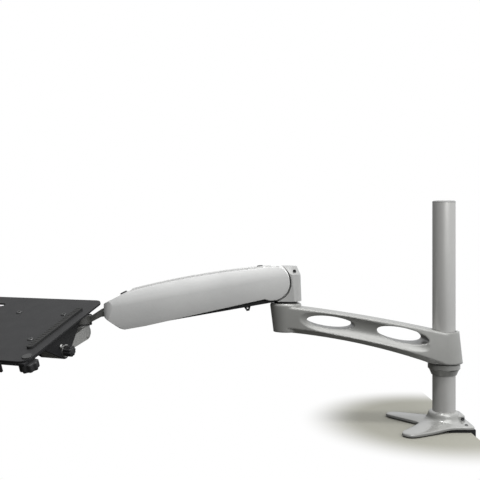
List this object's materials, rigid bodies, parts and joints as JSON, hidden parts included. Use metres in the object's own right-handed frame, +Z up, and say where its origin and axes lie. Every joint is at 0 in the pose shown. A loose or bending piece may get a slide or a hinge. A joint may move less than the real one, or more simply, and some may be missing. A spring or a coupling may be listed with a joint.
{
  "type": "desk-mounted laptop arm",
  "caption": "Desk-clamped pole with an arched lower arm, a spring-loaded parallel upper arm and a pan and tilt head carrying a slotted tray.",
  "frame": {"origin": "on the pole's axis, at the desk's top face under the foot", "axes": "+Z up along the pole, both arms reach out along -X, the tray's front faces -Y and a little -X"},
  "size_m": [0.8064, 0.2409, 0.473],
  "materials": {
    "grey_paint": "satin silver-grey powder coat",
    "pole_metal": "satin anodised tube",
    "shell_plastic": "light grey satin moulding",
    "grey_plastic": "mid grey moulding",
    "black_paint": "fine-textured black powder coat",
    "black_plastic": "matte black moulding",
    "black_rubber": "matte",
    "steel": "zinc plated",
    "dark_steel": "blackened"
  },
  "bodies": {
    "mount": {"base_foot": "grey_paint", "foot_pad": "black_rubber", "clamp_bracket": "black_paint", "bracket_screws": "steel", "pole": "pole_metal", "pole_cap": "grey_plastic", "pole_plug": "steel", "pole_bolt": "steel"},
    "clamp_pad": {"clamp_pad": "black_paint", "clamp_rubber": "black_rubber"},
    "clamp_screw": {"clamp_screw": "steel", "clamp_knob": "black_plastic"},
    "collar": {"height_collar": "grey_paint", "collar_screw": "dark_steel", "thrust_washer": "black_plastic"},
    "lower_arm": {"lower_arm": "grey_paint", "hub_bushes": "black_plastic", "elbow_bushes": "black_plastic", "elbow_cap": "black_plastic"},
    "knuckle": {"knuckle": "grey_paint", "knuckle_screw": "dark_steel", "anchor_pin": "steel", "elbow_shaft": "steel", "elbow_nut": "steel", "elbow_washer": "black_plastic"},
    "upper_arm": {"arm_shell": "shell_plastic", "top_strip": "shell_plastic", "lift_pins": "steel", "head_pin": "steel", "pivot_washers": "black_plastic", "spring_cylinder": "black_paint", "spring_pin": "steel"},
    "lower_link": {"lower_link": "black_paint", "cable_clip": "black_plastic", "rear_link_pins": "steel", "front_link_pin": "steel"},
    "spring_rod": {"spring_rod": "steel"},
    "head": {"head_bracket": "grey_paint", "pan_cover": "black_plastic", "pan_bolt": "steel", "pan_washer": "black_plastic"},
    "tilt_head": {"tilt_head": "grey_paint", "tilt_washers": "black_plastic"},
    "tray": {"tilt_bracket": "black_paint", "tray": "black_paint", "tray_pads": "black_rubber", "tray_screws": "dark_steel", "tilt_nut": "steel", "tilt_ring": "steel", "guard_screws": "steel"},
    "tilt_knob": {"tilt_knob": "black_plastic", "tilt_bolt": "steel"},
    "front_stop": {"front_stop": "black_paint"},
    "stop_knob_right": {"stop_knob_right": "black_plastic", "stop_screw_right": "steel"},
    "stop_knob_left": {"stop_knob_left": "black_plastic", "stop_screw_left": "steel"}
  },
  "joints": [
    {"name": "clamp_travel", "type": "slide", "parent": "mount", "child": "clamp_pad", "axis": [0, 0, 1], "range_m": [-0.024, 0.016]},
    {"name": "clamp_turn", "type": "hinge", "parent": "clamp_pad", "child": "clamp_screw", "pos_m": [-0.004, 0, -0.1], "axis": [0, 0, 1], "range_deg": [-2160, 1440]},
    {"name": "collar_height", "type": "slide", "parent": "mount", "child": "collar", "axis": [0, 0, 1], "range_m": [-0.045, 0.175]},
    {"name": "arm_swivel", "type": "hinge", "parent": "collar", "child": "lower_arm", "pos_m": [0, 0, 0.114], "axis": [0, 0, 1], "continuous": true},
    {"name": "elbow", "type": "hinge", "parent": "lower_arm", "child": "knuckle", "pos_m": [-0.226, 0, 0.16], "axis": [0, 0, 1], "range_deg": [-90, 90]},
    {"name": "lift", "type": "hinge", "parent": "knuckle", "child": "upper_arm", "pos_m": [-0.2467, 0, 0.206], "axis": [0, 1, 0], "range_deg": [-30, 40]},
    {"name": "link_follow", "type": "hinge", "parent": "knuckle", "child": "lower_link", "pos_m": [-0.2467, 0, 0.185], "axis": [0, 1, 0], "range_deg": [-30, 40]},
    {"name": "rod_slide", "type": "slide", "parent": "upper_arm", "child": "spring_rod", "axis": [-0.9848, 0, -0.1736], "range_m": [-0.0067, 0.0051]},
    {"name": "head_level", "type": "hinge", "parent": "upper_arm", "child": "head", "pos_m": [-0.45745, 0, 0.16884], "axis": [0, 1, 0], "range_deg": [-40, 30]},
    {"name": "pan", "type": "hinge", "parent": "head", "child": "tilt_head", "pos_m": [-0.51895, 0, 0.14], "axis": [0, 0, 1], "range_deg": [-90, 30]},
    {"name": "tilt", "type": "hinge", "parent": "tilt_head", "child": "tray", "pos_m": [-0.54076, -0.05804, 0.11854], "axis": [0.9361, -0.3518, 0], "range_deg": [-2, 35]},
    {"name": "tilt_knob_turn", "type": "hinge", "parent": "tray", "child": "tilt_knob", "pos_m": [-0.54076, -0.05804, 0.11854], "axis": [0.9361, -0.3518, 0], "continuous": true},
    {"name": "stop_slide", "type": "slide", "parent": "tray", "child": "front_stop", "axis": [0.3329, 0.8856, 0.3239], "range_m": [-0.025, 0]},
    {"name": "stop_knob_right_turn", "type": "hinge", "parent": "tray", "child": "stop_knob_right", "pos_m": [-0.54706, -0.14244, 0.11187], "axis": [-0.114, -0.3032, 0.9461], "continuous": true},
    {"name": "stop_knob_left_turn", "type": "hinge", "parent": "tray", "child": "stop_knob_left", "pos_m": [-0.76011, -0.06236, 0.11187], "axis": [-0.114, -0.3032, 0.9461], "continuous": true}
  ],
  "couplings": [
    {"joint": "clamp_turn", "follows": "clamp_travel", "rad_per_m": 1570.8},
    {"joint": "link_follow", "follows": "lift", "ratio": 1},
    {"joint": "head_level", "follows": "lift", "ratio": -1},
    {"joint": "rod_slide", "follows": "lift", "m_per_rad": -0.00935}
  ]
}
